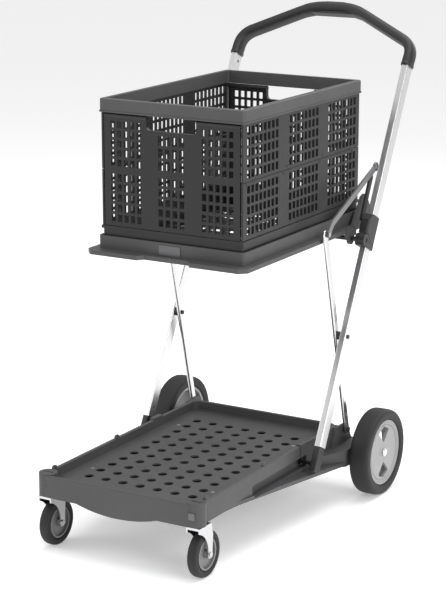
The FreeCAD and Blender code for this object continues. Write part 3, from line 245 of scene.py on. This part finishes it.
def make_finishes():
    """One material for each of the record's slots."""
    along_tube = (1.0, 0.35, 0.06)
    return {
        "tray_grey": moulded_plastic("tray_grey", (0.058, 0.058, 0.060), 0.50),
        "dark_plastic": moulded_plastic("dark_plastic", (0.016, 0.016, 0.0165), 0.46),
        "crate_charcoal": moulded_plastic("crate_charcoal", (0.0085, 0.0085, 0.009), 0.42),
        "satin_tube": drawn_metal("satin_tube", (0.70, 0.70, 0.71), 0.30, along_tube),
        "link_grey": drawn_metal("link_grey", (0.26, 0.26, 0.265), 0.36, (1.0, 0.1, 0.3)),
        "bright_metal": bright_plating("bright_metal", (0.62, 0.62, 0.63), 0.16),
        "dark_steel": drawn_metal("dark_steel", (0.06, 0.06, 0.062), 0.38, (0.1, 1.0, 1.0)),
        "steel": drawn_metal("steel", (0.50, 0.50, 0.51), 0.35, (0.1, 1.0, 1.0)),
        "black_grip": soft_grip("black_grip", (0.007, 0.007, 0.0075)),
        "tyre_black": tyre_rubber("tyre_black", (0.009, 0.009, 0.0095)),
        "wheel_grey": moulded_plastic("wheel_grey", (0.30, 0.30, 0.305), 0.38),
        "caster_hub_grey": moulded_plastic("caster_hub_grey", (0.16, 0.16, 0.163), 0.40),
        "bush_plastic": moulded_plastic("bush_plastic", (0.45, 0.45, 0.44), 0.40),
        "light_plate": drawn_metal("light_plate", (0.16, 0.16, 0.165), 0.42, (0.1, 1.0, 1.0)),
    }


# ---- surfaces ---------------------------------------------------------------------------
def capped_faces(rings, around, start=0):
    """Faces of closed rings joined one to the next, with one flat face at each end.

    Face k of ring i joins its points k and k + 1 to the same two points of ring i + 1, where the
    first point of all has the number start.
    """
    row, turn = np.arange(rings - 1)[:, None] * around + start, np.arange(around)[None, :]
    here, beside = row + turn, row + (turn + 1) % around
    quads = np.stack([here, beside, beside + around, here + around], axis=-1).reshape(-1, 4)
    first = np.arange(start, start + around)
    return quads.tolist() + [first[::-1].tolist(), (first + (rings - 1) * around).tolist()]


def closed_rows(grids, name):
    """One mesh of several grids of points, each of the shape (rings, points in a ring, 3)."""
    mesh = bpy.data.meshes.new(name)
    faces, start = [], 0
    for grid in grids:
        rings, around = grid.shape[:2]
        faces += capped_faces(rings, around, start)
        start += rings * around
    corners = np.concatenate([grid.reshape(-1, 3) for grid in grids])
    mesh.from_pydata(corners.tolist(), [], faces)
    return mesh


def looped_rows(grid, name):
    """Mesh of a grid of points whose rows and columns are both closed rings, as on a torus."""
    rings, around = grid.shape[:2]
    i, k = np.arange(rings)[:, None], np.arange(around)[None, :]
    after, beside = (i + 1) % rings, (k + 1) % around
    corners = [i * around + k, i * around + beside, after * around + beside, after * around + k]
    quads = np.stack(np.broadcast_arrays(*corners), axis=-1).reshape(-1, 4)
    mesh = bpy.data.meshes.new(name)
    mesh.from_pydata(grid.reshape(-1, 3).tolist(), [], quads.tolist())
    return mesh


def facing_out(mesh):
    """Turns a closed mesh so that its faces point outwards, and smooths it."""
    mesh.update()
    corners = np.empty(len(mesh.vertices) * 3)
    mesh.vertices.foreach_get("co", corners)
    corners = corners.reshape(-1, 3)
    mesh.calc_loop_triangles()
    picks = np.empty(len(mesh.loop_triangles) * 3, dtype=np.int32)
    mesh.loop_triangles.foreach_get("vertices", picks)
    a, b, c = (corners[picks.reshape(-1, 3)[:, n]] for n in range(3))
    if np.einsum("ij,ij->i", a, np.cross(b, c)).sum() < 0:
        mesh.flip_normals()
    mesh.shade_smooth()


def place_piece(name, mesh, body, finish, *nodes):
    """Puts a piece in the scene, on its body, in the place of the nodes that it stands for."""
    facing_out(mesh)
    piece = bpy.data.objects.new(name, mesh)
    bpy.context.scene.collection.objects.link(piece)
    mesh.materials.append(FINISHES[finish])
    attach(piece, body)
    if nodes:
        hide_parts(*nodes)
    return piece


def power(value, exponent):
    """A signed power, which squares off a circle's sine and cosine."""
    return np.sign(value) * np.abs(value) ** exponent


# ---- tyres ------------------------------------------------------------------------------
REAR_SQUARENESS, CASTER_SQUARENESS = 4.2, 3.0
BEAD_DEPTH, BEAD_PLACE, BEAD_SPREAD, BEAD_FROM = 0.0009, 0.3, 0.05, 0.7


def tyre_surface(node, hub, squareness, name):
    """A rubber ring: a superellipse turned about the axle.

    Across the tyre, x = half width * cos(u)^(2/n) and radius = middle + half depth * sin(u)^(2/n),
    with a shallow bead line on each side wall. The ring turns through v about the axle along X.
    """
    low, high = (np.array(corner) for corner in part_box(node))
    hub_low, hub_high = (np.array(corner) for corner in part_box(hub))
    middle = (low + high) / 2
    outer, inner = (high - low)[2] / 2, (hub_high - hub_low)[2] / 2
    u = np.linspace(0, 2 * np.pi, 72, endpoint=False)
    v = np.linspace(0, 2 * np.pi, 160, endpoint=False)
    half_width, half_depth = (high - low)[0] / 2, (outer - inner) / 2
    across = half_width * power(np.cos(u), 2 / squareness)
    radius = (outer + inner) / 2 + half_depth * power(np.sin(u), 2 / squareness)
    share = (radius - inner) / (outer - inner)
    bead = BEAD_DEPTH * np.exp(-((share - BEAD_PLACE) / BEAD_SPREAD) ** 2)
    across = across - np.sign(across) * bead * (np.abs(across) > half_width * BEAD_FROM)
    grid = np.empty((len(v), len(u), 3))
    grid[..., 0] = middle[0] + across
    grid[..., 1] = middle[1] + radius * np.cos(v)[:, None]
    grid[..., 2] = middle[2] + radius * np.sin(v)[:, None]
    return looped_rows(grid, name)


def make_tyres():
    """Round-shouldered tyres on the four wheels."""
    for side, _ in SIDES:
        rear, caster = f"wheel_tyre_{side}", f"caster_tyre_{side}"
        tread = tyre_surface(rear, f"wheel_hub_{side}", REAR_SQUARENESS, f"rear_tyre_{side}")
        place_piece(f"rear_tyre_{side}", tread, f"rear_wheel_{side}", "tyre_black", rear)
        tread = tyre_surface(caster, f"caster_hub_{side}", CASTER_SQUARENESS, f"front_tyre_{side}")
        place_piece(f"front_tyre_{side}", tread, f"caster_wheel_{side}", "tyre_black", caster)


# ---- crease studs -----------------------------------------------------------------------
STUD_R, STUD_HEIGHT, STUD_FLATNESS = 0.0028, 0.0012, 0.8
STUD_SHARES, STUD_STEP, STUD_RISE = (0.045, 0.345, 0.655, 0.955), 0.007, 0.006


def stud_grid(centre, sign):
    """A low round stud: radius R cos(u), height H sin(u)^0.8 along X, turned through v."""
    u = np.linspace(0, np.pi / 2, 7)[:-1]
    v = np.linspace(0, 2 * np.pi, 20, endpoint=False)
    grid = np.empty((len(u), len(v), 3))
    grid[..., 0] = centre[0] + sign * STUD_HEIGHT * (np.sin(u) ** STUD_FLATNESS)[:, None]
    grid[..., 1] = centre[1] + STUD_R * np.cos(u)[:, None] * np.cos(v)
    grid[..., 2] = centre[2] + STUD_R * np.cos(u)[:, None] * np.sin(v)
    return grid


def make_crease_studs():
    """Pairs of hinge studs along the fold line of each crate side, between its window groups."""
    for side, sign in SIDES:
        low, high = (np.array(corner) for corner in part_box(f"crate_side_upper_{side}"))
        face = high[0] if sign > 0 else low[0]
        length, crease = high[1] - low[1], low[2]
        studs = []
        for share in STUD_SHARES:
            for along, rise in ((-STUD_STEP, -STUD_RISE), (STUD_STEP, STUD_RISE)):
                centre = (face, low[1] + length * share + along, crease + rise)
                studs.append(stud_grid(centre, sign))
        mesh = closed_rows(studs, f"crease_studs_{side}")
        place_piece(f"crease_studs_{side}", mesh, "crate", "dark_steel")


# ---- grip -------------------------------------------------------------------------------
TUBE_LEAN, ARCH_LEAN = math.radians(27.1), math.radians(34.1)
GRIP_HALF_W, GRIP_HALF_T, SLEEVE = 0.0170, 0.0115, 0.0100
POCKET_X, POCKET_HALF, POCKET_FLOOR = 0.0550, 0.0110, 0.0020
HINGE_TO_ARCH = (0.0, 0.2101, 0.3542)
SHOULDER_UP, CROWN_UP, CROWN_X = 0.040, 0.120, 0.052
CORNER_REACHES = (0.007, 0.028, 0.036, 0.036, 0.028, 0.007)
HOUSE_X, HOUSE_BLEND, HOUSE_WIDER, HOUSE_THICKER = 0.078, 0.020, 0.03, 0.10
COLLAR, COLLAR_PLACE = 0.0008, 0.003
WAVE, WAVE_PITCH, WAVE_FROM, WAVE_BLEND = 0.00035, 0.0052, 0.067, 0.012
SECTION_SQUARENESS, UPRIGHT_X = 2.7, 0.19


def lean_back(angle):
    """Unit vector up along a tube that leans back by the angle."""
    return np.array([0.0, math.sin(angle), math.cos(angle)])


def rounded_line(points, reaches, steps=14):
    """Straight runs with each corner p turned by the curve (1-t)^2 a + 2t(1-t) p + t^2 b."""
    t = np.linspace(0, 1, steps)[:, None]
    line = [points[0][None, :]]
    for before, corner, after, reach in zip(points, points[1:], points[2:], reaches):
        a = corner + (before - corner) / np.linalg.norm(before - corner) * reach
        b = corner + (after - corner) / np.linalg.norm(after - corner) * reach
        line.append((1 - t) ** 2 * a + 2 * t * (1 - t) * corner + t ** 2 * b)
    line.append(points[-1][None, :])
    return np.vstack(line)


def spread_evenly(line, count):
    """The same line with evenly spaced points."""
    gaps = np.linalg.norm(np.diff(line, axis=0), axis=1)
    along = np.concatenate([[0], np.cumsum(gaps)])
    even = np.linspace(0, along[-1], count)
    return np.stack([np.interp(even, along, line[:, k]) for k in range(3)], axis=1), even


def ease(value):
    """Smooth step from 0 to 1."""
    value = np.clip(value, 0, 1)
    return value * value * (3 - 2 * value)


def make_grip():
    """Arched grip: a superellipse carried along the arch, with collars, finger waves and a trigger recess.

    At distance s along the path, the ring is path + w * W cos(u)^(2/n) + up * T sin(u)^(2/n), where W and T
    swell at the two collars and over the middle housing, and ripple under the fingers.
    """
    rod_low, rod_high = (np.array(corner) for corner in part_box("joint_rod"))
    tube_low, tube_high = (np.array(corner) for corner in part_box("handle_tube_right"))
    tube_x = (tube_low + tube_high)[0] / 2
    foot = (rod_low + rod_high) / 2 + np.array(HINGE_TO_ARCH)
    foot[0] = 0.0
    up = lean_back(ARCH_LEAN)
    sleeve = foot - lean_back(TUBE_LEAN) * SLEEVE
    aside = np.array([1.0, 0.0, 0.0])
    right = [sleeve + aside * tube_x, foot + aside * tube_x, foot + aside * tube_x + up * SHOULDER_UP,
             foot + aside * CROWN_X + up * CROWN_UP]
    mirror = np.array([-1.0, 1.0, 1.0])
    points = right + [point * mirror for point in right[::-1]]
    line = rounded_line(points, CORNER_REACHES)
    path, along = spread_evenly(line, 420)
    tangent = np.gradient(path, axis=0)
    tangent /= np.linalg.norm(tangent, axis=1)[:, None]
    flat = np.array([0.0, math.cos(ARCH_LEAN), -math.sin(ARCH_LEAN)])
    wide = flat - tangent * (tangent @ flat)[:, None]
    wide /= np.linalg.norm(wide, axis=1)[:, None]
    thick = np.cross(wide, tangent)
    outward = np.where(np.abs(path[:, :1]) > UPRIGHT_X, np.sign(path[:, :1]) * aside, up)
    thick *= np.sign(np.einsum("ij,ij->i", thick, outward))[:, None]
    from_end = np.minimum(along, along[-1] - along)
    house = ease((HOUSE_X - np.abs(path[:, 0])) / HOUSE_BLEND)
    collar = np.exp(-((from_end - COLLAR_PLACE) / COLLAR_PLACE) ** 2)
    wave = WAVE * np.sin(from_end * 2 * np.pi / WAVE_PITCH)
    wave *= ease((from_end - WAVE_FROM) / WAVE_BLEND) * (1 - house)
    half_w = GRIP_HALF_W * (1 + HOUSE_WIDER * house) + COLLAR * collar
    half_t = GRIP_HALF_T * (1 + HOUSE_THICKER * house) + COLLAR * collar
    u = np.linspace(0, 2 * np.pi, 128, endpoint=False)
    w = half_w[:, None] * power(np.cos(u), 2 / SECTION_SQUARENESS)[None, :]
    lower = np.clip(-np.sin(u), 0, 1)[None, :]
    h = half_t[:, None] * power(np.sin(u), 2 / SECTION_SQUARENESS)[None, :] - wave[:, None] * lower
    recess = (np.abs(path[:, 0]) < POCKET_X)[:, None] & (np.abs(w) < POCKET_HALF) & (h < 0)
    h = np.where(recess, POCKET_FLOOR, h)
    grid = path[:, None, :] + wide[:, None, :] * w[..., None] + thick[:, None, :] * h[..., None]
    place_piece("grip_skin", closed_rows([grid], "grip_skin"), "handle", "black_grip", "grip")


def dress_cad_nodes():
    """Gives every carried-over node the finish of its slot."""
    for row in frame["record"]["subparts"]:
        mesh = NODES[row["node"]].data
        mesh.materials.clear()
        mesh.materials.append(FINISHES[row["material_slot"]])


make_camera()
make_floor()
make_light()
FINISHES = make_finishes()
dress_cad_nodes()
make_tyres()
make_crease_studs()
make_grip()
